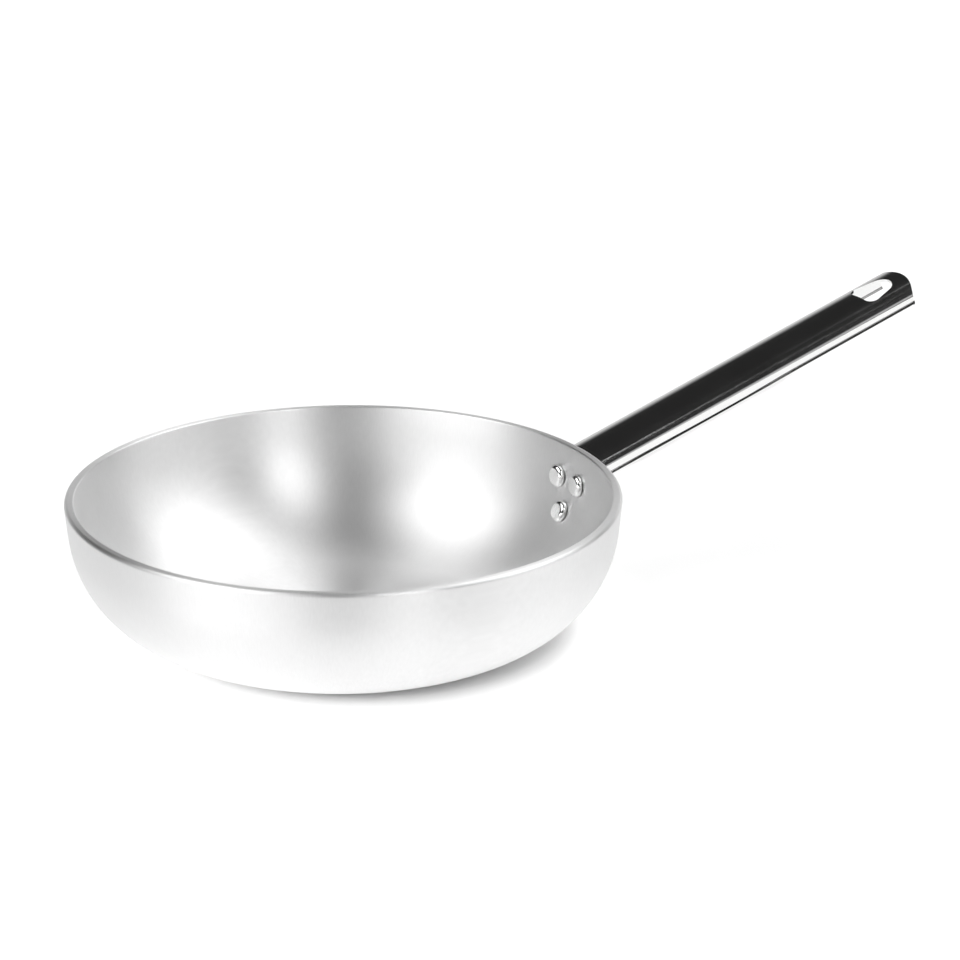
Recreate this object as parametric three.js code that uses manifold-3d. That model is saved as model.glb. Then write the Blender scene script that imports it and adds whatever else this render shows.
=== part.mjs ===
// Frying pan: a thick spun aluminium body and a folded sheet-steel handle, joined by three rivets.
// Millimetres, +Z up. The origin is the centre of the flat base, and the handle points along +X.

import * as THREE from 'three';
import { mergeVertices } from 'three/addons/utils/BufferGeometryUtils.js';
import Module from 'manifold-3d';

const wasm = await Module();
wasm.setup();

const radians = THREE.MathUtils.degToRad;

// Pan body, spun from one disc, so its base and its wall have the same thickness.
const rimDiameter = 280;
const panHeight = 71.4;
const wallThickness = 5;
const wallFlare = radians(5.6);
const cornerRadius = 61;
const rimOuterRound = 1.8;
const rimInnerRound = 0.8;

// Handle, one folded sheet. Its crest line starts below the rim and rises outwards.
const sheetThickness = 1.5;
const handleReach = 214.3;
const handleRise = radians(17.73);
const crestBelowRim = 3.6;
const handleWidth = 32;
const crownRadius = 60;
const shoulderRadius = 6;
const sideFlat = 2.5;

// The lower lips are short at both ends and roll under along the grip.
const lipRadius = 8;
const lipSweepAtEnds = radians(16);
const lipSweepInGrip = radians(96);
const sideLeanAtEnds = radians(-2);
const sideLeanInGrip = radians(9);
const gripStart = 0;
const gripFullFrom = 84;
const gripFullTo = 88;
const gripEnd = 134;

// Tip of the handle and its hanging hole, a rounded triangle with its point towards the tip.
const tipRadius = 26;
const tipCornerRound = 3.5;
const holeToTip = 8.2;
const holeLength = 20.8;
const holeWidth = 22.8;
const holePointRadius = 8;
const holeCornerRadius = 4.5;

// Root of the handle: the sheet bends down to a plate that lies on the wall.
const rootBendRadius = 6;
const plateLowerRadius = 9.5;

// Rivets, placed by the depth of their heads below the rim.
const rivetUpperDepth = 18;
const rivetLowerDepth = 34.2;
const rivetUpperSpacing = 18.8;
const rivetHeadDiameter = 11.6;
const rivetFaceDiameter = 7.6;
const rivetHeadHeight = 2.6;
const rivetHeadSkirt = 0.8;
const rivetShankDiameter = 6;
const rivetTailDiameter = 10.4;
const rivetTailHeight = 2.4;

// Gap between pieces that touch, overruns of cutting shapes, and the distance at which points are one.
const fitClearance = 0.3;
const overrun = 4;
const rootOverrun = 20;
const mergeDistance = 1e-4;

// Facets.
const turnSegments = 96;
const cornerSteps = 10;
const roundSteps = 4;
const rivetSegments = 24;
const crownSteps = 3;
const shoulderSteps = 5;
const lipSteps = 7;
const gripStations = 22;
const outlineSteps = 8;

// Values that follow from the sizes above.
const rimRadius = rimDiameter / 2;
const rimRoundRadius = rimRadius - rimOuterRound;
const rimRoundHeight = panHeight - rimOuterRound;
const innerCornerRadius = cornerRadius - wallThickness;
const halfWidth = handleWidth / 2;
const handleOrigin = new THREE.Vector3(rimRadius, 0, panHeight - crestBelowRim);

// Small helpers for points and solids.

function arc(x, y, radius, from, to, steps) {
  const points = [];
  for (let i = 0; i <= steps; i += 1) {
    const angle = from + (to - from) * i / steps;
    points.push(new THREE.Vector2(x + radius * Math.cos(angle), y + radius * Math.sin(angle)));
  }
  return points;
}

function solid(geometry) {
  const bare = geometry.clone();
  bare.deleteAttribute('normal');
  bare.deleteAttribute('uv');
  const merged = mergeVertices(bare, mergeDistance);
  const index = merged.index.array;
  const triangles = [];
  for (let i = 0; i < index.length; i += 3) {
    const [a, b, c] = index.subarray(i, i + 3);
    if (a !== b && b !== c && c !== a) {
      triangles.push(a, b, c);
    }
  }
  const mesh = new wasm.Mesh({
    numProp: 3,
    vertProperties: Float32Array.from(merged.attributes.position.array),
    triVerts: Uint32Array.from(triangles),
  });
  return new wasm.Manifold(mesh);
}

function geometryOf(body) {
  const mesh = body.getMesh();
  const geometry = new THREE.BufferGeometry();
  geometry.setAttribute('position', new THREE.BufferAttribute(Float32Array.from(mesh.vertProperties), 3));
  geometry.setIndex(new THREE.BufferAttribute(Uint32Array.from(mesh.triVerts), 1));
  geometry.computeVertexNormals();
  return geometry;
}

// Turns X, Y and Z into Y, Z and X.
const nextAxes = new THREE.Matrix4().makeBasis(
  new THREE.Vector3(0, 1, 0),
  new THREE.Vector3(0, 0, 1),
  new THREE.Vector3(1, 0, 0),
);

// A profile of (radius, height) points turned about +Z.
function revolve(points, segments) {
  return new THREE.LatheGeometry(points, segments).rotateX(Math.PI / 2);
}

// An outline drawn in X and Y, from one height to another.
function prism(points, bottom, top) {
  const shape = new THREE.Shape(points);
  const geometry = new THREE.ExtrudeGeometry(shape, { depth: top - bottom, bevelEnabled: false });
  return geometry.translate(0, 0, bottom);
}

// An outline drawn in X and Z, reaching halfDepth to both sides along Y.
function sidePrism(points, halfDepth) {
  return prism(points, -halfDepth, halfDepth).rotateX(Math.PI / 2);
}

// An outline drawn in Y and Z, from one distance along X to another.
function frontPrism(points, from, to) {
  return prism(points, from, to).applyMatrix4(nextAxes);
}

// A skin through closed sections of equal length, with both ends filled. Each section lies at one x.
function loft(sections) {
  const count = sections[0].outline.length;
  const positions = [];
  for (const section of sections) {
    for (const point of section.outline) {
      positions.push(section.x, point.x, point.y);
    }
  }
  const index = [];
  for (let s = 0; s + 1 < sections.length; s += 1) {
    for (let i = 0; i < count; i += 1) {
      const a = s * count + i;
      const b = s * count + (i + 1) % count;
      index.push(a, b, b + count, a, b + count, a + count);
    }
  }
  for (const [a, b, c] of THREE.ShapeUtils.triangulateShape(sections[0].outline, [])) {
    index.push(a, c, b);
  }
  const last = (sections.length - 1) * count;
  for (const [a, b, c] of THREE.ShapeUtils.triangulateShape(sections.at(-1).outline, [])) {
    index.push(last + a, last + b, last + c);
  }
  const geometry = new THREE.BufferGeometry();
  geometry.setAttribute('position', new THREE.Float32BufferAttribute(positions, 3));
  geometry.setIndex(index);
  return geometry;
}

// The wall: every surface of the pan and of the handle's plate is this curve moved in or out.

function wallRadius(inset, height) {
  const lean = (rimRoundHeight - height) * Math.tan(wallFlare);
  return rimRoundRadius - lean + (rimOuterRound - inset) / Math.cos(wallFlare);
}

const tangentHeight = cornerRadius * (1 - Math.sin(wallFlare));
const baseRadius = wallRadius(0, tangentHeight) - cornerRadius * Math.cos(wallFlare);

function cornerArc(inset) {
  return arc(baseRadius, cornerRadius, cornerRadius - inset, -Math.PI / 2, -wallFlare, cornerSteps);
}

// Place on the inner wall at a height, with the angle of its outward normal above the horizontal.
function wallSeat(height) {
  const innerTangent = cornerRadius - innerCornerRadius * Math.sin(wallFlare);
  if (height > innerTangent) {
    return { radius: wallRadius(wallThickness, height), height, tilt: -wallFlare };
  }
  const tilt = Math.asin((height - cornerRadius) / innerCornerRadius);
  return { radius: baseRadius + innerCornerRadius * Math.cos(tilt), height, tilt };
}

// Rivets: the head lies inside the pan, the shank runs out through wall and plate, the tail is upset there.

function rivetPlace(depth, sideways) {
  const seat = wallSeat(panHeight - depth);
  const azimuth = Math.asin(sideways / seat.radius);
  const place = new THREE.Object3D();
  place.rotation.order = 'ZYX';
  place.rotation.z = azimuth;
  place.rotation.y = Math.PI / 2 - seat.tilt;
  place.position.set(seat.radius * Math.cos(azimuth), seat.radius * Math.sin(azimuth), seat.height);
  place.updateMatrixWorld();
  return place;
}

const rivets = [
  { name: 'rivet_upper_left', place: rivetPlace(rivetUpperDepth, rivetUpperSpacing / 2) },
  { name: 'rivet_upper_right', place: rivetPlace(rivetUpperDepth, -rivetUpperSpacing / 2) },
  { name: 'rivet_lower', place: rivetPlace(rivetLowerDepth, 0) },
];

function rivetHoles() {
  const radius = rivetShankDiameter / 2 + fitClearance;
  const reach = wallThickness + sheetThickness + 2 * overrun;
  const drill = new THREE.CylinderGeometry(radius, radius, reach, rivetSegments).rotateX(Math.PI / 2);
  drill.translate(0, 0, reach / 2 - overrun);
  return rivets.map((rivet) => solid(drill.clone().applyMatrix4(rivet.place.matrixWorld)));
}

function rivetGeometry() {
  const headRadius = rivetHeadDiameter / 2;
  const shankRadius = rivetShankDiameter / 2;
  const tailRadius = rivetTailDiameter / 2;
  // The head stands off the hollow wall by its own sagitta there, so its edge keeps the clearance.
  const headSeat = -fitClearance - headRadius ** 2 / (2 * innerCornerRadius);
  const headTop = headSeat - rivetHeadHeight;
  const tailSeat = wallThickness + sheetThickness + 2 * fitClearance;
  const bevel = headRadius - rivetFaceDiameter / 2;
  const profile = [new THREE.Vector2(0, headTop)];
  for (let i = 0; i <= roundSteps; i += 1) {
    const angle = Math.PI / 2 * i / roundSteps;
    const rise = (rivetHeadHeight - rivetHeadSkirt) * (1 - Math.cos(angle));
    profile.push(new THREE.Vector2(rivetFaceDiameter / 2 + bevel * Math.sin(angle), headTop + rise));
  }
  profile.push(
    new THREE.Vector2(headRadius, headSeat),
    new THREE.Vector2(shankRadius, headSeat),
    new THREE.Vector2(shankRadius, tailSeat),
  );
  for (let i = 0; i <= roundSteps; i += 1) {
    const angle = Math.PI / 2 * i / roundSteps;
    const radius = tailRadius * Math.cos(angle);
    profile.push(new THREE.Vector2(radius, tailSeat + rivetTailHeight * Math.sin(angle)));
  }
  return revolve(profile, rivetSegments);
}

// Pan body: flat base, round corner, flared wall and a rim rounded on both edges.

function panBody() {
  const outerRim = arc(rimRoundRadius, rimRoundHeight, rimOuterRound, -wallFlare, Math.PI / 2, roundSteps);
  const innerHeight = panHeight - rimInnerRound;
  const innerRadius = wallRadius(wallThickness - rimInnerRound, innerHeight);
  const innerEnd = Math.PI - wallFlare;
  const innerRim = arc(innerRadius, innerHeight, rimInnerRound, Math.PI / 2, innerEnd, roundSteps);
  const profile = [
    new THREE.Vector2(0, 0),
    ...cornerArc(0),
    ...outerRim,
    ...innerRim,
    ...cornerArc(wallThickness).reverse(),
    new THREE.Vector2(0, wallThickness),
  ];
  let body = solid(revolve(profile, turnSegments));
  for (const hole of rivetHoles()) {
    body = body.subtract(hole);
  }
  return geometryOf(body);
}

// Handle: the folded section, seen along the handle, with the crest at (0, 0).

// How far the lips are rolled at a place along the handle, from 0 at the ends to 1 in the grip.
function gripRoll(x) {
  const rise = THREE.MathUtils.smoothstep(x, gripStart, gripFullFrom);
  return rise - THREE.MathUtils.smoothstep(x, gripFullTo, gripEnd);
}

// One half of the outer line from crest to lip, as points with their outward normals.
function foldedHalf(roll) {
  const lean = THREE.MathUtils.lerp(sideLeanAtEnds, sideLeanInGrip, roll);
  const sweep = THREE.MathUtils.lerp(lipSweepAtEnds, lipSweepInGrip, roll);
  const crownTurn = Math.asin((halfWidth - shoulderRadius) / (crownRadius - shoulderRadius));
  const line = [];
  let heading = 0;
  let y = 0;
  let z = 0;
  const mark = () => line.push({ y, z, ny: Math.sin(heading), nz: Math.cos(heading) });
  const bend = (radius, turn, steps) => {
    for (let i = 0; i < steps; i += 1) {
      const next = heading + turn / steps;
      y += radius * (Math.sin(next) - Math.sin(heading));
      z += radius * (Math.cos(next) - Math.cos(heading));
      heading = next;
      mark();
    }
  };
  mark();
  bend(crownRadius, crownTurn, crownSteps);
  bend(shoulderRadius, Math.PI / 2 - crownTurn + lean, shoulderSteps);
  y += sideFlat * Math.cos(heading);
  z -= sideFlat * Math.sin(heading);
  mark();
  bend(lipRadius, sweep - lean, lipSteps);
  return line;
}

// The whole outer line, from one lip over the crest to the other, moved in by an inset.
function foldedLine(roll, inset) {
  const half = foldedHalf(roll).map((p) => new THREE.Vector2(p.y - inset * p.ny, p.z - inset * p.nz));
  const mirrored = half.slice(1).map((p) => new THREE.Vector2(-p.x, p.y));
  return [...mirrored.reverse(), ...half];
}

// The outline of the fold with its inside filled.
function hullOutline(roll) {
  return foldedLine(roll, 0).reverse();
}

// The outline of the inside of the fold, carried on below the lips.
function hollowOutline(roll) {
  const outer = foldedLine(roll, 0);
  const [left, right] = [outer[0], outer.at(-1)];
  const below = (lip) => new THREE.Vector2(lip.x, lip.y - overrun);
  return [left, below(left), below(right), right, ...foldedLine(roll, sheetThickness).reverse()];
}

// An outline of the fold, carried from inside the pan to beyond the tip.
function foldAlong(outline) {
  const stations = [-rootOverrun];
  for (let i = 0; i <= gripStations; i += 1) {
    stations.push(THREE.MathUtils.lerp(gripStart, gripEnd, i / gripStations));
  }
  stations.push(handleReach + overrun);
  return loft(stations.map((x) => ({ x, outline: outline(gripRoll(x)) })));
}

// Tip: everything in front of the rounded end, drawn in plan.
function tipPlan() {
  const centre = handleReach - tipRadius;
  return [
    new THREE.Vector2(-2 * rootOverrun, tipRadius),
    new THREE.Vector2(-2 * rootOverrun, -tipRadius),
    ...arc(centre, 0, tipRadius, -Math.PI / 2, Math.PI / 2, 3 * outlineSteps),
  ];
}

// What is cut off the lower corners of the sides at the tip, drawn from the side.
function tipCorner() {
  const inside = halfWidth - sheetThickness;
  const end = handleReach - tipRadius + Math.sqrt(tipRadius ** 2 - inside ** 2);
  const low = Math.min(...foldedHalf(0).map((p) => p.z));
  return [
    ...arc(end - tipCornerRound, low + tipCornerRound, tipCornerRound, -Math.PI / 2, 0, outlineSteps),
    new THREE.Vector2(end + tipRadius, low + tipCornerRound),
    new THREE.Vector2(end + tipRadius, low - overrun),
    new THREE.Vector2(end - tipCornerRound, low - overrun),
  ];
}

// The hanging hole in plan: two small circles at its corners, a large one at its point, and lines round them.
function holePlan() {
  const point = handleReach - holeToTip - holePointRadius;
  const corner = handleReach - holeToTip - holeLength + holeCornerRadius;
  const side = holeWidth / 2 - holeCornerRadius;
  const gap = Math.hypot(point - corner, side);
  const along = Math.atan2(-side, point - corner);
  const tangent = along + Math.acos((holeCornerRadius - holePointRadius) / gap);
  return [
    ...arc(point, 0, holePointRadius, -tangent, tangent, 2 * outlineSteps),
    ...arc(corner, side, holeCornerRadius, tangent, Math.PI, outlineSteps),
    ...arc(corner, -side, holeCornerRadius, Math.PI, 2 * Math.PI - tangent, outlineSteps),
  ];
}

// Root: the crown bends down to the wall. At each point of the fold the bend touches the line that runs
// along the handle there and the face of the plate.
function bendOutline(point, inset) {
  const radius = rootBendRadius - inset;
  const reach = wallRadius(-fitClearance - inset, panHeight);
  const face = new THREE.Vector2(Math.sqrt(reach ** 2 - point.x ** 2), panHeight);
  const faceNormal = new THREE.Vector2(Math.cos(wallFlare), -Math.sin(wallFlare));
  const lineNormal = new THREE.Vector2(Math.sin(handleRise), -Math.cos(handleRise));
  const line = new THREE.Vector2(handleOrigin.x, handleOrigin.z).addScaledVector(lineNormal, -point.y);
  const a = lineNormal.dot(line) + radius;
  const b = faceNormal.dot(face) + radius;
  const spread = lineNormal.cross(faceNormal);
  const x = (a * faceNormal.y - b * lineNormal.y) / spread;
  const z = (b * lineNormal.x - a * faceNormal.x) / spread;
  const bend = arc(x, z, radius, Math.PI - wallFlare, Math.PI / 2 + handleRise, outlineSteps);
  const top = panHeight + overrun;
  return [
    ...bend,
    new THREE.Vector2(bend.at(-1).x, top),
    new THREE.Vector2(bend[0].x - overrun, top),
    new THREE.Vector2(bend[0].x - overrun, bend[0].y),
  ];
}

// What the bend cuts off the end of the crown and the shoulders.
function rootCorner(inset) {
  const sections = foldedLine(0, inset).slice(lipSteps + 1, -lipSteps - 1).map((point) => ({
    x: point.x,
    outline: bendOutline(point, inset).map((p) => new THREE.Vector2(p.y, p.x)).reverse(),
  }));
  return loft(sections).applyMatrix4(nextAxes);
}

// The pan's outside moved out by a distance, filled, and carried on upwards past the handle.
function panEnvelope(distance) {
  const rim = wallRadius(-distance, panHeight);
  const top = panHeight + handleReach;
  const profile = [
    new THREE.Vector2(0, -distance),
    ...cornerArc(-distance),
    new THREE.Vector2(rim, panHeight),
    new THREE.Vector2(rim, top),
    new THREE.Vector2(0, top),
  ];
  return solid(revolve(profile, turnSegments));
}

// The plate on the wall, from just above the sides' lower edges down to a round about the lower rivet.
function plateOutline() {
  const middle = new THREE.Vector3(0, 0, wallThickness + fitClearance + sheetThickness / 2);
  const [upper, , lower] = rivets.map((rivet) => middle.clone().applyMatrix4(rivet.place.matrixWorld));
  const sideEdge = foldedHalf(0).at(-1).z;
  const top = handleOrigin.z + (sideEdge + sheetThickness / 2) / Math.cos(handleRise);
  const drop = upper.z - lower.z;
  const tangent = Math.atan2(drop, halfWidth) - Math.acos(plateLowerRadius / Math.hypot(drop, halfWidth));
  return [
    new THREE.Vector2(halfWidth, upper.z),
    new THREE.Vector2(halfWidth, top),
    new THREE.Vector2(-halfWidth, top),
    new THREE.Vector2(-halfWidth, upper.z),
    ...arc(0, lower.z, plateLowerRadius, Math.PI - tangent, 2 * Math.PI + tangent, 2 * outlineSteps),
  ];
}

function handle() {
  const place = new THREE.Object3D();
  place.position.copy(handleOrigin);
  place.rotation.y = -handleRise;
  place.updateMatrix();
  const placed = (geometry) => solid(geometry.applyMatrix4(place.matrix));

  const wallFace = panEnvelope(fitClearance);
  const plateFace = panEnvelope(fitClearance + sheetThickness);
  const hollow = placed(foldAlong(hollowOutline))
    .subtract(solid(rootCorner(sheetThickness)))
    .subtract(plateFace);
  const plate = plateFace.intersect(solid(frontPrism(plateOutline(), baseRadius, rimRadius)));

  let body = placed(foldAlong(hullOutline))
    .subtract(hollow)
    .subtract(solid(rootCorner(0)))
    .intersect(placed(prism(tipPlan(), -handleWidth, overrun)))
    .subtract(placed(sidePrism(tipCorner(), handleWidth)))
    .subtract(placed(prism(holePlan(), -handleWidth, overrun)))
    .add(plate)
    .subtract(wallFace);
  for (const hole of rivetHoles()) {
    body = body.subtract(hole);
  }
  return geometryOf(body);
}

const aluminium = { color: 0xd9d9d7, roughness: 0.38, metalness: 1 };
const polishedSteel = { color: 0xc4c4c2, roughness: 0.1, metalness: 1 };
const rivetMetal = { color: 0xdededc, roughness: 0.2, metalness: 1 };

const fryingPan = new THREE.Group();

function addPiece(name, geometry, finish) {
  const piece = new THREE.Mesh(geometry, new THREE.MeshStandardMaterial(finish));
  piece.name = name;
  fryingPan.add(piece);
  return piece;
}

addPiece('pan_body', panBody(), aluminium);
addPiece('handle', handle(), polishedSteel);
for (const { name, place } of rivets) {
  const rivet = addPiece(name, geometryOf(solid(rivetGeometry())), rivetMetal);
  rivet.position.copy(place.position);
  rivet.rotation.copy(place.rotation);
}

export default fryingPan;
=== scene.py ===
import math

import bpy
from mathutils import Matrix, Vector


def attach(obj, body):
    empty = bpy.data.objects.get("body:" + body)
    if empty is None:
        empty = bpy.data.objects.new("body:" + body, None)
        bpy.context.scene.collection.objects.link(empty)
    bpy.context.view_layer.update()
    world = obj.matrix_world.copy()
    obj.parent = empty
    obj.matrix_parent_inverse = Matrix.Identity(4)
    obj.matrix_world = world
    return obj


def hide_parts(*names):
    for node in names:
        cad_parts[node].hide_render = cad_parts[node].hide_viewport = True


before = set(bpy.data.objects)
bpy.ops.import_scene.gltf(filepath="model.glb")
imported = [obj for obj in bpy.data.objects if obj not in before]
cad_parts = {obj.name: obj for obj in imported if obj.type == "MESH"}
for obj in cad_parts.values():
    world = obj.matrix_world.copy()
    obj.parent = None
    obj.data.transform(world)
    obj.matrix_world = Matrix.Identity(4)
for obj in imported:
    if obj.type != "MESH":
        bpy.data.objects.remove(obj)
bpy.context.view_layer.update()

# Sizes in millimetres, as in the solids. The crease, the hole's width and the rivets' faces and skirts are
# finer than there. Meshes are written in metres.
METRE = 0.001

RIM_RADIUS = 140.0
PAN_HEIGHT = 71.4
WALL = 5.0
FLARE = math.radians(5.6)
CORNER_RADIUS = 61.0
RIM_OUTER_ROUND = 1.8
RIM_INNER_ROUND = 0.8

SHEET = 1.5
HANDLE_REACH = 214.3
HANDLE_RISE = math.radians(17.73)
CREST_BELOW_RIM = 3.6
HALF_WIDTH = 16.0
CROWN_RADIUS = 60.0
SHOULDER_RADIUS = 6.0
SIDE_FLAT = 2.5
LIP_RADIUS = 8.0
LIP_SWEEP = (math.radians(16), math.radians(96))
CREASE_DEPTH = 1.2
CREASE_DROP = 0.5
CREASE_LENGTH = 2.2
SIDE_LEAN = (math.radians(-2), math.radians(9))
GRIP_RISE = (0.0, 84.0)
GRIP_FALL = (88.0, 134.0)
TIP_RADIUS = 26.0
TIP_CORNER = 3.5
HOLE_TO_TIP = 8.2
HOLE_LENGTH = 20.8
HOLE_WIDTH = 20.6
HOLE_POINT_RADIUS = 8.0
HOLE_CORNER_RADIUS = 4.5
ROOT_BEND = 6.0
PLATE_LOWER_RADIUS = 9.5

RIVET_DEPTHS = {"rivet_upper_left": 18.0, "rivet_upper_right": 18.0, "rivet_lower": 34.2}
RIVET_SIDES = {"rivet_upper_left": 9.4, "rivet_upper_right": -9.4, "rivet_lower": 0.0}
RIVET_HEAD_RADIUS = 5.8
RIVET_FACE_RADIUS = 3.6
RIVET_HEAD_HEIGHT = 2.6
RIVET_HEAD_SKIRT = 0.3
RIVET_SHANK_RADIUS = 3.0
RIVET_TAIL_RADIUS = 5.2
RIVET_TAIL_HEIGHT = 2.4

CLEARANCE = 0.3
OVERRUN = 4.0
ROOT_OVERRUN = 20.0

# Fineness of the meshes.
TURN_STEPS = 288
CORNER_STEPS = 40
ROUND_STEPS = 8
FLAT_STEPS = 12
RIVET_TURN_STEPS = 64
CROWN_STEPS = 12
SHOULDER_STEPS = 20
LIP_STEPS = 60
GRIP_STEPS = 90
OUTLINE_STEPS = 20

# Edges with a wider angle, in degrees, stay sharp.
RIVET_SHARP = 50
HANDLE_SHARP = 30

INNER_CORNER = CORNER_RADIUS - WALL
RIM_ROUND_RADIUS = RIM_RADIUS - RIM_OUTER_ROUND
RIM_ROUND_HEIGHT = PAN_HEIGHT - RIM_OUTER_ROUND
CREST_HEIGHT = PAN_HEIGHT - CREST_BELOW_RIM


def wall_radius(inset, height):
    lean = (RIM_ROUND_HEIGHT - height) * math.tan(FLARE)
    return RIM_ROUND_RADIUS - lean + (RIM_OUTER_ROUND - inset) / math.cos(FLARE)


BASE_RADIUS = wall_radius(0, CORNER_RADIUS * (1 - math.sin(FLARE))) - CORNER_RADIUS * math.cos(FLARE)


# Points and meshes.


def arc(x, y, radius, start, stop, steps):
    angles = [start + (stop - start) * i / steps for i in range(steps + 1)]
    return [(x + radius * math.cos(a), y + radius * math.sin(a)) for a in angles]


def line(start, stop, steps):
    """Points between two ends, without the ends."""
    return [
        (start[0] + (stop[0] - start[0]) * i / steps, start[1] + (stop[1] - start[1]) * i / steps)
        for i in range(1, steps)
    ]


def make_object(name, points, faces):
    mesh = bpy.data.meshes.new(name)
    mesh.from_pydata([Vector(p) * METRE for p in points], [], faces)
    mesh.validate()
    piece = bpy.data.objects.new(name, mesh)
    bpy.context.scene.collection.objects.link(piece)
    return piece


def lathe(name, profile, steps):
    """Turns a profile of (radius, height) points, which starts and ends on the axis, about Z."""
    ring_points = profile[1:-1]
    count = len(ring_points)
    points = [(0, 0, profile[0][1]), (0, 0, profile[-1][1])]
    for s in range(steps):
        turn = 2 * math.pi * s / steps
        points += [(r * math.cos(turn), r * math.sin(turn), z) for r, z in ring_points]
    faces = []
    for s in range(steps):
        here = 2 + s * count
        there = 2 + (s + 1) % steps * count
        faces.append((0, there, here))
        faces.append((1, here + count - 1, there + count - 1))
        for i in range(count - 1):
            faces.append((here + i, there + i, there + i + 1, here + i + 1))
    return make_object(name, points, faces)


def loft(name, sections, place):
    """A skin through closed outlines, each a (station, points) pair, with both ends filled."""
    count = len(sections[0][1])
    points = [place(station, u, v) for station, outline in sections for u, v in outline]
    faces = [tuple(reversed(range(count)))]
    faces.append(tuple(range(len(points) - count, len(points))))
    for s in range(len(sections) - 1):
        here = s * count
        for i in range(count):
            after = (i + 1) % count
            faces.append((here + i, here + after, here + count + after, here + count + i))
    return make_object(name, points, faces)


def carve(target, tool, operation):
    """Applies a boolean of two closed meshes and deletes the second."""
    modifier = target.modifiers.new("carve", "BOOLEAN")
    modifier.solver = "MANIFOLD"
    modifier.operation = operation
    modifier.object = tool
    graph = bpy.context.evaluated_depsgraph_get()
    result = bpy.data.meshes.new_from_object(target.evaluated_get(graph))
    target.modifiers.clear()
    target.data = result
    bpy.data.objects.remove(tool)


def smooth(piece, angle):
    """Smooth shading, with an edge kept sharp where its faces meet at more than the angle."""
    piece.data.shade_smooth()
    piece.data.set_sharp_from_angle(angle=math.radians(angle))


# Pan body.


def corner_arc(inset, steps):
    return arc(BASE_RADIUS, CORNER_RADIUS, CORNER_RADIUS - inset, -math.pi / 2, -FLARE, steps)


def pan_body():
    outer_corner = corner_arc(0, CORNER_STEPS)
    outer_rim = arc(RIM_ROUND_RADIUS, RIM_ROUND_HEIGHT, RIM_OUTER_ROUND, -FLARE, math.pi / 2, ROUND_STEPS)
    inner_height = PAN_HEIGHT - RIM_INNER_ROUND
    inner_radius = wall_radius(WALL - RIM_INNER_ROUND, inner_height)
    inner_rim = arc(inner_radius, inner_height, RIM_INNER_ROUND, math.pi / 2, math.pi - FLARE, ROUND_STEPS)
    inner_corner = corner_arc(WALL, CORNER_STEPS)[::-1]
    profile = [(0, 0)]
    profile += line((0, 0), outer_corner[0], FLAT_STEPS)
    profile += outer_corner
    profile += line(outer_corner[-1], outer_rim[0], FLAT_STEPS)
    profile += outer_rim
    profile += line(outer_rim[-1], inner_rim[0], ROUND_STEPS)
    profile += inner_rim
    profile += line(inner_rim[-1], inner_corner[0], FLAT_STEPS)
    profile += inner_corner
    profile += line(inner_corner[-1], (0, WALL), FLAT_STEPS)
    profile.append((0, WALL))
    piece = lathe("pan_body_turned", profile, TURN_STEPS)
    piece.data.shade_smooth()
    return piece


# Rivets.


def rivet_place(depth, sideways):
    """The place on the inner wall, with local Z along the wall's outward normal."""
    height = PAN_HEIGHT - depth
    if height > CORNER_RADIUS - INNER_CORNER * math.sin(FLARE):
        radius = wall_radius(WALL, height)
        tilt = -FLARE
    else:
        tilt = math.asin((height - CORNER_RADIUS) / INNER_CORNER)
        radius = BASE_RADIUS + INNER_CORNER * math.cos(tilt)
    azimuth = math.asin(sideways / radius)
    turn = Matrix.Rotation(azimuth, 4, "Z") @ Matrix.Rotation(math.pi / 2 - tilt, 4, "Y")
    spot = Vector((radius * math.cos(azimuth), radius * math.sin(azimuth), height))
    return Matrix.Translation(spot) @ turn


def rivet(name, depth, sideways):
    head_seat = -CLEARANCE - RIVET_HEAD_RADIUS**2 / (2 * INNER_CORNER)
    head_top = head_seat - RIVET_HEAD_HEIGHT
    tail_seat = WALL + SHEET + 2 * CLEARANCE
    bevel = RIVET_HEAD_RADIUS - RIVET_FACE_RADIUS
    drop = RIVET_HEAD_HEIGHT - RIVET_HEAD_SKIRT
    face_edge = (RIVET_FACE_RADIUS, head_top)
    head_foot = (RIVET_HEAD_RADIUS, head_seat)
    profile = [(0, head_top)] + line((0, head_top), face_edge, FLAT_STEPS)
    for x, y in arc(0, 0, 1, math.pi / 2, 0, 2 * ROUND_STEPS):
        profile.append((RIVET_FACE_RADIUS + bevel * x, head_top + drop * (1 - y)))
    profile += line(profile[-1], head_foot, ROUND_STEPS)
    profile += [head_foot, (RIVET_SHANK_RADIUS, head_seat), (RIVET_SHANK_RADIUS, tail_seat)]
    for x, y in arc(0, 0, 1, 0, math.pi / 2, 2 * ROUND_STEPS):
        profile.append((RIVET_TAIL_RADIUS * x, tail_seat + RIVET_TAIL_HEIGHT * y))
    profile[-1] = (0, tail_seat + RIVET_TAIL_HEIGHT)
    piece = lathe(name + "_headed", profile, RIVET_TURN_STEPS)
    place = rivet_place(depth, sideways)
    place.translation *= METRE
    piece.data.transform(place)
    smooth(piece, RIVET_SHARP)
    return piece


# Handle: the folded section, seen along the handle, with the crest at (0, 0).


def smoothstep(x, start, stop):
    t = min(max((x - start) / (stop - start), 0), 1)
    return t * t * (3 - 2 * t)


def grip_roll(x):
    return smoothstep(x, *GRIP_RISE) - smoothstep(x, *GRIP_FALL)


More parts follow.
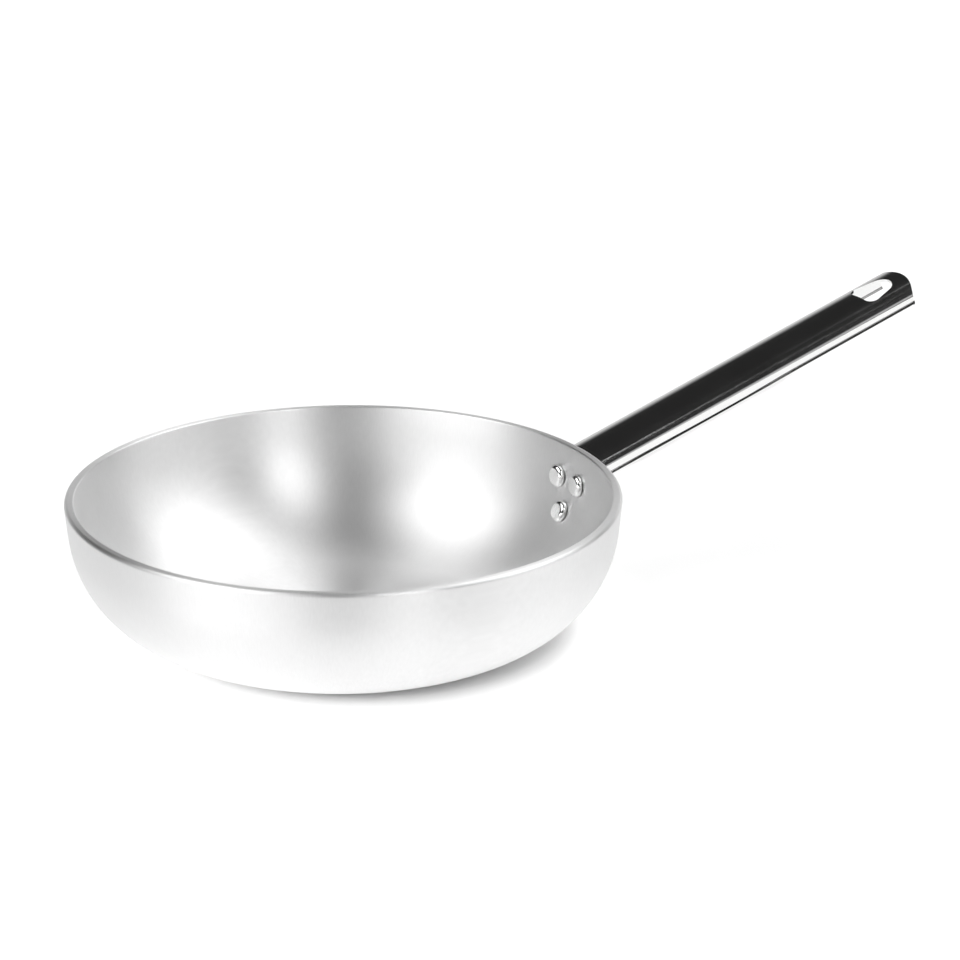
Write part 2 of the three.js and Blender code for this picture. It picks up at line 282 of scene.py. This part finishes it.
def folded_half(roll):
    """Half of the outer line from crest to lip, as (y, z, normal y, normal z)."""
    lean = SIDE_LEAN[0] + (SIDE_LEAN[1] - SIDE_LEAN[0]) * roll
    sweep = LIP_SWEEP[0] + (LIP_SWEEP[1] - LIP_SWEEP[0]) * roll
    crown_turn = math.asin((HALF_WIDTH - SHOULDER_RADIUS) / (CROWN_RADIUS - SHOULDER_RADIUS))
    y = z = heading = 0.0
    marks = [(y, z, 0.0, 1.0)]

    def bend(radius, turn, steps):
        nonlocal y, z, heading
        for _ in range(steps):
            after = heading + turn / steps
            y += radius * (math.sin(after) - math.sin(heading))
            z += radius * (math.cos(after) - math.cos(heading))
            heading = after
            marks.append((y, z, math.sin(heading), math.cos(heading)))

    bend(CROWN_RADIUS, crown_turn, CROWN_STEPS)
    bend(SHOULDER_RADIUS, math.pi / 2 - crown_turn + lean, SHOULDER_STEPS)
    y += SIDE_FLAT * math.cos(heading)
    z -= SIDE_FLAT * math.sin(heading)
    marks.append((y, z, math.sin(heading), math.cos(heading)))
    bend(LIP_RADIUS, sweep - lean, LIP_STEPS)
    return marks


def creased_half(roll):
    """The outer line with the crease where the rolled lip begins."""
    marks = folded_half(roll)
    first = len(marks) - LIP_STEPS - 1
    creased = []
    length = 0.0
    for i, (y, z, normal_y, normal_z) in enumerate(marks):
        if i > first:
            length += math.dist(marks[i][:2], marks[i - 1][:2])
        depth = smoothstep(length, 0, CREASE_DROP) - smoothstep(length, CREASE_DROP, CREASE_LENGTH)
        creased.append((y - CREASE_DEPTH * depth * normal_y, z - CREASE_DEPTH * depth * normal_z))
    return creased


def folded_line(roll, inset):
    half = [(y - inset * ny, z - inset * nz) for y, z, ny, nz in folded_half(roll)]
    return [(-y, z) for y, z in half[:0:-1]] + half


def hull_outline(roll):
    half = creased_half(roll)
    return half[::-1] + [(-y, z) for y, z in half[1:]]


def hollow_outline(roll):
    outer = folded_line(roll, 0)
    left, right = outer[0], outer[-1]
    below = [(left[0], left[1] - OVERRUN), (right[0], right[1] - OVERRUN)]
    return [left] + below + [right] + folded_line(roll, SHEET)[::-1]


def on_handle(x, y, z):
    """A point given along the handle, in the part's frame."""
    along, up = math.cos(HANDLE_RISE), math.sin(HANDLE_RISE)
    return (RIM_RADIUS + x * along - z * up, y, CREST_HEIGHT + x * up + z * along)


def fold_along(name, outline):
    stations = [-ROOT_OVERRUN]
    stations += [GRIP_FALL[1] * i / GRIP_STEPS for i in range(GRIP_STEPS + 1)]
    stations.append(HANDLE_REACH + OVERRUN)
    return loft(name, [(x, outline(grip_roll(x))) for x in stations], on_handle)


def plan_prism(name, outline, bottom, top):
    """An outline drawn along and across the handle, carried from one height to another."""
    return loft(name, [(bottom, outline), (top, outline)], lambda z, x, y: on_handle(x, y, z))


def tip_plan():
    back = -2 * ROOT_OVERRUN
    front = arc(HANDLE_REACH - TIP_RADIUS, 0, TIP_RADIUS, -math.pi / 2, math.pi / 2, 3 * OUTLINE_STEPS)
    return [(back, TIP_RADIUS), (back, -TIP_RADIUS)] + front


def tip_corner():
    """What is cut off the lower corners of the sides at the tip, drawn from the side."""
    end = HANDLE_REACH - TIP_RADIUS + math.sqrt(TIP_RADIUS**2 - (HALF_WIDTH - SHEET) ** 2)
    low = min(mark[1] for mark in folded_half(0))
    outline = arc(end - TIP_CORNER, low + TIP_CORNER, TIP_CORNER, -math.pi / 2, 0, OUTLINE_STEPS)
    outline += [(end + TIP_RADIUS, low + TIP_CORNER), (end + TIP_RADIUS, low - OVERRUN)]
    outline.append((end - TIP_CORNER, low - OVERRUN))
    sides = [(2 * HALF_WIDTH, outline), (-2 * HALF_WIDTH, outline)]
    return loft("tip_corner", sides, lambda y, x, z: on_handle(x, y, z))


def hole_plan():
    """The hanging hole: two small circles at its corners, a large one at its point, and lines round them."""
    point = HANDLE_REACH - HOLE_TO_TIP - HOLE_POINT_RADIUS
    corner = HANDLE_REACH - HOLE_TO_TIP - HOLE_LENGTH + HOLE_CORNER_RADIUS
    side = HOLE_WIDTH / 2 - HOLE_CORNER_RADIUS
    gap = math.hypot(point - corner, side)
    tangent = math.atan2(-side, point - corner) + math.acos((HOLE_CORNER_RADIUS - HOLE_POINT_RADIUS) / gap)
    outline = arc(point, 0, HOLE_POINT_RADIUS, -tangent, tangent, 2 * OUTLINE_STEPS)
    outline += arc(corner, side, HOLE_CORNER_RADIUS, tangent, math.pi, OUTLINE_STEPS)
    outline += arc(corner, -side, HOLE_CORNER_RADIUS, math.pi, 2 * math.pi - tangent, OUTLINE_STEPS)
    return outline


def bend_outline(y, z, inset):
    """The bend at the root, at one point of the fold: it touches the handle's line and the plate's face."""
    radius = ROOT_BEND - inset
    reach = wall_radius(-CLEARANCE - inset, PAN_HEIGHT)
    face = Vector((math.sqrt(reach**2 - y**2), PAN_HEIGHT))
    face_normal = Vector((math.cos(FLARE), -math.sin(FLARE)))
    line_normal = Vector((math.sin(HANDLE_RISE), -math.cos(HANDLE_RISE)))
    crest = Vector((RIM_RADIUS, CREST_HEIGHT)) - z * line_normal
    a = line_normal.dot(crest) + radius
    b = face_normal.dot(face) + radius
    spread = line_normal.x * face_normal.y - line_normal.y * face_normal.x
    centre_x = (a * face_normal.y - b * line_normal.y) / spread
    centre_z = (b * line_normal.x - a * face_normal.x) / spread
    bend = arc(centre_x, centre_z, radius, math.pi - FLARE, math.pi / 2 + HANDLE_RISE, OUTLINE_STEPS)
    top = PAN_HEIGHT + OVERRUN
    inside = bend[0][0] - OVERRUN
    return bend + [(bend[-1][0], top), (inside, top), (inside, bend[0][1])]


def root_corner(inset):
    """What the bend cuts off the end of the crown and the shoulders."""
    fold = folded_line(0, inset)[LIP_STEPS + 1 : -LIP_STEPS - 1]
    sections = [(y, bend_outline(y, z, inset)) for y, z in fold]
    return loft("root_corner", sections[::-1], lambda y, x, z: (x, y, z))


def pan_envelope(distance):
    """The pan's outside moved out by a distance, filled, and carried on upwards past the handle."""
    rim = wall_radius(-distance, PAN_HEIGHT)
    top = PAN_HEIGHT + HANDLE_REACH
    profile = [(0, -distance)] + corner_arc(-distance, CORNER_STEPS)
    profile += [(rim, PAN_HEIGHT), (rim, top), (0, top)]
    return lathe("envelope", profile, TURN_STEPS)


def plate_outline():
    """The plate on the wall, from just above the sides' lower edges to a round about the lower rivet."""
    middle = Vector((0, 0, WALL + CLEARANCE + SHEET / 2))
    upper = rivet_place(RIVET_DEPTHS["rivet_upper_left"], RIVET_SIDES["rivet_upper_left"]) @ middle
    lower = rivet_place(RIVET_DEPTHS["rivet_lower"], RIVET_SIDES["rivet_lower"]) @ middle
    top = CREST_HEIGHT + (folded_half(0)[-1][1] + SHEET / 2) / math.cos(HANDLE_RISE)
    drop = upper.z - lower.z
    tangent = math.atan2(drop, HALF_WIDTH) - math.acos(PLATE_LOWER_RADIUS / math.hypot(drop, HALF_WIDTH))
    outline = [(HALF_WIDTH, upper.z), (HALF_WIDTH, top), (-HALF_WIDTH, top), (-HALF_WIDTH, upper.z)]
    start, stop = math.pi - tangent, 2 * math.pi + tangent
    return outline + arc(0, lower.z, PLATE_LOWER_RADIUS, start, stop, 2 * OUTLINE_STEPS)


def handle():
    hollow = fold_along("hollow", hollow_outline)
    carve(hollow, root_corner(SHEET), "DIFFERENCE")
    carve(hollow, pan_envelope(CLEARANCE + SHEET), "DIFFERENCE")

    plate = pan_envelope(CLEARANCE + SHEET)
    ends = [(BASE_RADIUS, plate_outline()), (RIM_RADIUS, plate_outline())]
    carve(plate, loft("spade", ends, lambda x, y, z: (x, y, z)), "INTERSECT")

    piece = fold_along("handle_folded", hull_outline)
    carve(piece, hollow, "DIFFERENCE")
    carve(piece, root_corner(0), "DIFFERENCE")
    carve(piece, plan_prism("tip", tip_plan(), -2 * HALF_WIDTH, OVERRUN), "INTERSECT")
    carve(piece, tip_corner(), "DIFFERENCE")
    carve(piece, plan_prism("hole", hole_plan(), -2 * HALF_WIDTH, OVERRUN), "DIFFERENCE")
    carve(piece, plate, "UNION")
    carve(piece, pan_envelope(CLEARANCE), "DIFFERENCE")
    smooth(piece, HANDLE_SHARP)
    return piece


# Materials. Pattern scales are per metre, bump heights are in metres.

TONE_STOPS = (0.3, 0.7)

# Turned metal: fine grain, wider rings and large soft clouds. The grain drifts slowly round the axis.
GRAIN_SCALE = 2400
RING_SCALE = 260
CLOUD_SCALE = 14
DRIFT_ACROSS = 0.0012
DRIFT_AROUND = 1.2
AXIS_GAP = 0.001
RING_TONE = 0.6
GRAIN_GLOSS = 0.5
GRAIN_HEIGHT = 0.4
TURNED_BUMP = (0.25, 0.00004)
ANISOTROPY = 0.79
QUARTER_TURN = 0.25
TURNED_TONES = ((0.89, 0.89, 0.89), (0.94, 0.94, 0.94))
TURNED_ROUGHNESS = (0.44, 0.52)

# Polished sheet: lines drawn out along the handle, smears and slow waves.
LINE_SCALE = 1500
LINE_STRETCH = 0.03
LINE_GLOSS = 0.5
LINE_HEIGHT = 0.02
SMEAR_SCALE = 45
WAVE_SCALE = 18
STEEL_TONES = ((0.84, 0.84, 0.835), (0.89, 0.89, 0.885))
STEEL_ROUGHNESS = (0.07, 0.15)
STEEL_BUMP = (0.2, 0.0002)

# Rivet heads: shallow dents and fine scuffs.
DENT_SCALE = 260
SCUFF_SCALE = 900
RIVET_TONES = ((0.9, 0.9, 0.895), (0.96, 0.96, 0.955))
RIVET_ROUGHNESS = (0.12, 0.2)
RIVET_BUMP = (0.04, 0.0002)


class Nodes:
    """The node tree of a material or a world, with its shader and short ways to add to it."""

    def __init__(self, owner, shader):
        owner.use_nodes = True
        self.owner = owner
        self.tree = owner.node_tree
        self.shader = self.tree.nodes[shader]

    def add(self, kind, **settings):
        node = self.tree.nodes.new("ShaderNode" + kind)
        for key, value in settings.items():
            setattr(node, key, value)
        return node

    def link(self, source, target):
        self.tree.links.new(source, target)

    def math(self, operation, first, second=None):
        node = self.add("Math", operation=operation)
        for socket, value in zip(node.inputs, (first, second)):
            if isinstance(value, bpy.types.NodeSocket):
                self.link(value, socket)
            elif value is not None:
                socket.default_value = value
        return node.outputs[0]

    def dot(self, vector, direction):
        node = self.add("VectorMath", operation="DOT_PRODUCT")
        self.link(vector, node.inputs[0])
        node.inputs[1].default_value = direction
        return node.outputs["Value"]

    def fade(self, value, nothing, whole):
        """From 0 to 1 in a smooth step, as a value goes from one bound to the other."""
        node = self.add("MapRange", interpolation_type="SMOOTHSTEP")
        node.inputs["From Min"].default_value = nothing
        node.inputs["From Max"].default_value = whole
        self.link(value, node.inputs["Value"])
        return node.outputs["Result"]

    def noise(self, vector, scale, detail, w=None):
        node = self.add("TexNoise", noise_dimensions="3D" if w is None else "4D")
        node.inputs["Scale"].default_value = scale
        node.inputs["Detail"].default_value = detail
        self.link(vector, node.inputs["Vector"])
        if w is not None:
            self.link(w, node.inputs["W"])
        return node.outputs["Fac"]

    def spread(self, value, low, high):
        """A value between 0 and 1 mapped to a range."""
        node = self.add("MapRange")
        node.inputs["To Min"].default_value = low
        node.inputs["To Max"].default_value = high
        self.link(value, node.inputs["Value"])
        return node.outputs["Result"]

    def mix(self, first, share, second):
        """A share of one value with the rest taken from another."""
        return self.math("ADD", self.math("MULTIPLY", first, share), self.math("MULTIPLY", second, 1 - share))

    def colour(self, value, dark, light):
        """Base colour between two tones."""
        node = self.add("ValToRGB")
        for stop, position, tone in zip(node.color_ramp.elements, TONE_STOPS, (dark, light)):
            stop.position = position
            stop.color = (*tone, 1)
        self.link(value, node.inputs["Fac"])
        self.link(node.outputs["Color"], self.shader.inputs["Base Color"])

    def roughness(self, value, low, high):
        self.link(self.spread(value, low, high), self.shader.inputs["Roughness"])

    def bump(self, height, strength, distance):
        node = self.add("Bump")
        node.inputs["Strength"].default_value = strength
        node.inputs["Distance"].default_value = distance
        self.link(height, node.inputs["Height"])
        self.link(node.outputs["Normal"], self.shader.inputs["Normal"])


def new_material(name):
    return Nodes(bpy.data.materials.new(name), "Principled BSDF")


def turned_aluminium():
    """Satin metal with fine grain that runs round the axis."""
    n = new_material("turned_aluminium")
    place = n.add("TexCoord").outputs["Object"]
    split = n.add("SeparateXYZ")
    n.link(place, split.inputs[0])
    x, y, z = split.outputs
    radius = n.math("SQRT", n.math("ADD", n.math("MULTIPLY", x, x), n.math("MULTIPLY", y, y)))
    safe = n.math("MAXIMUM", radius, AXIS_GAP)
    across = n.add("CombineXYZ")
    n.link(radius, across.inputs[0])
    n.link(z, across.inputs[1])
    n.link(n.math("MULTIPLY", n.math("DIVIDE", x, safe), DRIFT_ACROSS), across.inputs[2])
    around = n.math("MULTIPLY", n.math("DIVIDE", y, safe), DRIFT_AROUND)
    grain = n.noise(across.outputs[0], GRAIN_SCALE, detail=4, w=around)
    rings = n.noise(across.outputs[0], RING_SCALE, detail=2, w=around)
    cloud = n.noise(place, CLOUD_SCALE, detail=3)
    n.colour(n.mix(rings, RING_TONE, cloud), *TURNED_TONES)
    n.roughness(n.mix(grain, GRAIN_GLOSS, cloud), *TURNED_ROUGHNESS)
    n.shader.inputs["Metallic"].default_value = 1.0
    n.shader.inputs["Anisotropic"].default_value = ANISOTROPY
    n.shader.inputs["Anisotropic Rotation"].default_value = QUARTER_TURN
    tangent = n.add("Tangent", direction_type="RADIAL", axis="Z")
    n.link(tangent.outputs[0], n.shader.inputs["Tangent"])
    n.bump(n.math("ADD", n.math("MULTIPLY", grain, GRAIN_HEIGHT), rings), *TURNED_BUMP)
    return n.owner


def polished_steel():
    """Mirror-polished sheet with faint polishing lines along the handle."""
    n = new_material("polished_steel")
    place = n.add("TexCoord").outputs["Object"]
    turn = n.add("Mapping")
    turn.inputs["Rotation"].default_value = (0, HANDLE_RISE, 0)
    turn.inputs["Scale"].default_value = (LINE_STRETCH, 1, 1)
    n.link(place, turn.inputs["Vector"])
    lines = n.noise(turn.outputs[0], LINE_SCALE, detail=3)
    smears = n.noise(place, SMEAR_SCALE, detail=4)
    waves = n.noise(place, WAVE_SCALE, detail=1)
    n.colour(smears, *STEEL_TONES)
    n.roughness(n.mix(lines, LINE_GLOSS, smears), *STEEL_ROUGHNESS)
    n.shader.inputs["Metallic"].default_value = 1.0
    n.bump(n.math("ADD", n.math("MULTIPLY", lines, LINE_HEIGHT), waves), *STEEL_BUMP)
    return n.owner


def rivet_aluminium():
    """Polished heads with a slightly uneven, pressed surface."""
    n = new_material("rivet_aluminium")
    place = n.add("TexCoord").outputs["Object"]
    dents = n.noise(place, DENT_SCALE, detail=2)
    scuffs = n.noise(place, SCUFF_SCALE, detail=4)
    n.colour(scuffs, *RIVET_TONES)
    n.roughness(scuffs, *RIVET_ROUGHNESS)
    n.shader.inputs["Metallic"].default_value = 1.0
    n.bump(dents, *RIVET_BUMP)
    return n.owner


def dress(piece, node, material):
    piece.data.materials.clear()
    piece.data.materials.append(material)
    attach(piece, "root")
    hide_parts(node)


dress(pan_body(), "pan_body", turned_aluminium())
dress(handle(), "handle", polished_steel())
rivet_metal = rivet_aluminium()
for rivet_name, rivet_depth in RIVET_DEPTHS.items():
    dress(rivet(rivet_name, rivet_depth, RIVET_SIDES[rivet_name]), rivet_name, rivet_metal)


# Camera and studio. Directions are given as azimuth to the right of the camera and elevation, in degrees.

CAMERA_TURN = -28.9
CAMERA_ELEVATION = 19.89
CAMERA_DISTANCE = 2.01
FOCAL_PIXELS = 4000.0
SENSOR = 36.0
IMAGE_PIXELS = 960.0
AIM_RIGHT_PIXELS = 144.8
AIM_UP_PIXELS = 12.3

# Softboxes round the pan: azimuth, elevation, half width and half height in degrees, softness, radiance.
SOFTBOXES = {
    "right_low": (61, 0, 38, 7, 0.85, 0.5),
    "right_wall": (86, 24, 26, 14, 0.06, 0.9),
    "right_top": (121, 54, 30, 18, 0.2, 2.1),
    "left_wall": (-44, 8, 29, 8, 0.3, 3.1),
    "left_top": (-72, 52, 24, 18, 0.35, 2.8),
    "front_right": (26, 33, 9, 27, 0.06, 2.7),
    "back_wall": (180, 10, 44, 10, 0.5, 0.7),
    "back_right": (160, 14, 19, 14, 0.15, 0.42),
}
# Keeps a division safe behind a softbox, and the light of the room between them.
SKY_EDGE = 0.001
ROOM_LEVEL = 0.02

# The floor, in millimetres from the pan's axis as the camera sees it.
FLOOR_FRONT = 400.0
FLOOR_BACK = 3000.0
FLOOR_LEFT = -800.0
FLOOR_RIGHT = 800.0
FLOOR_COLOUR = (0.9, 0.9, 0.9, 1)
FLOOR_ROUGHNESS = 0.9
# The floor's own glow: a painted pool of light near the pan and an even far level, and where it begins after
# the painted shadow, is whole and has fallen to its far level.
FLOOR_GLOW_PAINTED_NEAR = (0.42, 0.28)
PAINTED_SHADOW_CORE = 92.0
PAINTED_SHADOW_EDGE = 114.0
PAINTED_POOL_END = 260.0
# The painted shadow, where the floor has no glow, lies off the axis, away from the light.
PAINTED_SHADOW_TURN = 100.0
PAINTED_SHADOW_SHIFT = 14.0
WHITE = (1, 1, 1, 1)


def toward(azimuth, elevation):
    a = math.radians(azimuth + CAMERA_TURN)
    e = math.radians(elevation)
    return Vector((math.sin(a) * math.cos(e), -math.cos(a) * math.cos(e), math.sin(e)))


def add_camera():
    data = bpy.data.cameras.new("camera")
    data.sensor_width = SENSOR
    data.lens = FOCAL_PIXELS * SENSOR / IMAGE_PIXELS
    camera = bpy.data.objects.new("camera", data)
    bpy.context.scene.collection.objects.link(camera)
    back = toward(0, CAMERA_ELEVATION)
    position = Vector((0, 0, PAN_HEIGHT * METRE)) + CAMERA_DISTANCE * back
    forward = Matrix.Rotation(-math.atan2(AIM_RIGHT_PIXELS, FOCAL_PIXELS), 3, "Z") @ -back
    right = forward.cross(Vector((0, 0, 1))).normalized()
    forward = Matrix.Rotation(math.atan2(AIM_UP_PIXELS, FOCAL_PIXELS), 3, right) @ forward
    axes = Matrix((right, right.cross(forward), -forward)).transposed()
    camera.matrix_world = Matrix.Translation(position) @ axes.to_4x4()
    bpy.context.scene.camera = camera


def floor_with_painted_shadow():
    """A pale matt floor with a glow of its own: a painted shadow next to the pan where the glow is missing,
    and a painted pool of light just outside it, so that its shadow stays small.
    """
    n = new_material("floor")
    n.shader.inputs["Base Color"].default_value = FLOOR_COLOUR
    n.shader.inputs["Roughness"].default_value = FLOOR_ROUGHNESS
    n.shader.inputs["Specular IOR Level"].default_value = 0.0
    n.shader.inputs["Emission Color"].default_value = WHITE
    # Painted shadow and painted light: no glow next to the pan, round a centre moved away from the light,
    # then a brighter ring that falls to the even far level.
    distance = n.add("VectorMath", operation="DISTANCE")
    n.link(n.add("TexCoord").outputs["Object"], distance.inputs[0])
    distance.inputs[1].default_value = toward(PAINTED_SHADOW_TURN, 0) * PAINTED_SHADOW_SHIFT * METRE
    past_painted_shadow = n.fade(distance.outputs["Value"], PAINTED_SHADOW_CORE * METRE, PAINTED_SHADOW_EDGE * METRE)
    painted_pool_fade = n.fade(distance.outputs["Value"], PAINTED_SHADOW_EDGE * METRE, PAINTED_POOL_END * METRE)
    rays = n.add("LightPath").outputs
    seen = n.math("MAXIMUM", rays["Is Camera Ray"], rays["Is Glossy Ray"])
    seen = n.math("MAXIMUM", seen, rays["Is Transmission Ray"])
    glow_with_painted_shade = n.math("MULTIPLY", past_painted_shadow, n.spread(painted_pool_fade, *FLOOR_GLOW_PAINTED_NEAR))
    n.link(n.math("MULTIPLY", glow_with_painted_shade, seen), n.shader.inputs["Emission Strength"])
    return n.owner


def add_floor():
    """A sheet that ends just outside the picture's lower edge, with the dark room beyond it."""
    front = [(FLOOR_LEFT, -FLOOR_FRONT, 0), (FLOOR_RIGHT, -FLOOR_FRONT, 0)]
    back = [(FLOOR_RIGHT, FLOOR_BACK, 0), (FLOOR_LEFT, FLOOR_BACK, 0)]
    floor = make_object("floor", front + back, [(0, 1, 2, 3)])
    floor.data.transform(Matrix.Rotation(math.radians(CAMERA_TURN), 4, "Z"))
    floor.data.materials.append(floor_with_painted_shadow())


def soft_window(n, sky, azimuth, elevation, half_width, half_height, softness, radiance):
    """The light of one softbox, as a soft-edged rectangle of the sky."""
    facing = toward(azimuth, elevation)
    right = facing.cross(Vector((0, 0, 1))).normalized()
    ahead = n.math("MAXIMUM", n.dot(sky, facing), SKY_EDGE)
    inside = []
    for axis, half_angle in ((right, half_width), (right.cross(facing), half_height)):
        offset = n.math("ABSOLUTE", n.math("DIVIDE", n.dot(sky, axis), ahead))
        edge = math.tan(math.radians(half_angle))
        inside.append(n.fade(offset, edge * (1 + softness), edge * (1 - softness)))
    return n.math("MULTIPLY", n.math("MULTIPLY", *inside), radiance)


def add_world():
    """White to the camera, and otherwise a dark room with softboxes."""
    n = Nodes(bpy.data.worlds.new("studio"), "Background")
    sky = n.add("TexCoord").outputs["Generated"]
    camera = n.add("LightPath").outputs["Is Camera Ray"]
    light = ROOM_LEVEL
    for box in SOFTBOXES.values():
        light = n.math("ADD", soft_window(n, sky, *box), light)
    unseen = n.math("SUBTRACT", 1.0, camera)
    n.link(n.math("ADD", n.math("MULTIPLY", light, unseen), camera), n.shader.inputs["Strength"])
    n.shader.inputs["Color"].default_value = WHITE
    bpy.context.scene.world = n.owner


add_camera()
add_world()
add_floor()

bpy.context.scene.view_settings.view_transform = "Standard"
